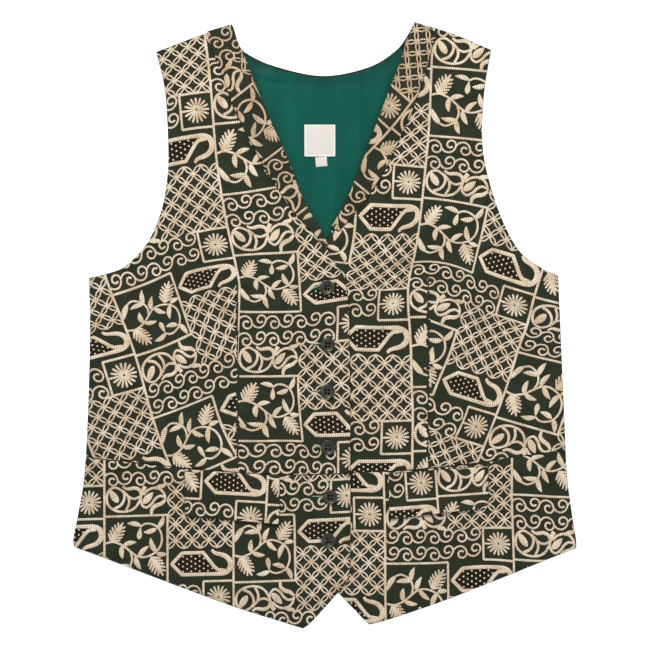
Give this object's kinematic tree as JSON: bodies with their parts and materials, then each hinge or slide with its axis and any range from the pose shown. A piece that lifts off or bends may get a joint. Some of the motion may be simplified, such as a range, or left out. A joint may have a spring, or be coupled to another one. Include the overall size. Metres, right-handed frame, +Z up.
{
  "type": "embroidered waistcoat",
  "caption": "Sleeveless buttoned waistcoat of dark cloth with allover thread embroidery, V neck with slim lapels, flap pockets and a pointed hem, laid flat on its back.",
  "frame": {"origin": "middle of the outline, on the surface that the garment lies on", "axes": "+Y from the hem to the neck, +Z up off the surface out of the front, +X towards the wearer's left side"},
  "size_m": [0.5177, 0.6244, 0.0117],
  "materials": {
    "embroidered_cloth": "dark green twill with raised beige thread embroidery all over, dry and matt with a slight thread sheen",
    "ground_cloth": "plain dark green twill, matt",
    "lining_satin": "emerald satin, smooth, with a soft sheen",
    "button_horn": "dark grey horn look, satin, with a raised rim and four thread holes",
    "woven_label": "off-white woven tape, matt, bare"
  },
  "bodies": {
    "root": {"back": "ground_cloth", "back_lining": "lining_satin", "front_upper_right": "embroidered_cloth", "front_upper_left": "embroidered_cloth", "front_lower_right": "embroidered_cloth", "front_lower_left": "embroidered_cloth", "lapel_right": "embroidered_cloth", "lapel_left": "embroidered_cloth", "flap_right": "embroidered_cloth", "flap_left": "embroidered_cloth", "label": "woven_label", "size_tag": "woven_label", "button_1": "button_horn", "button_2": "button_horn", "button_3": "button_horn", "button_4": "button_horn", "button_5": "button_horn", "button_6": "button_horn"}
  },
  "joints": []
}
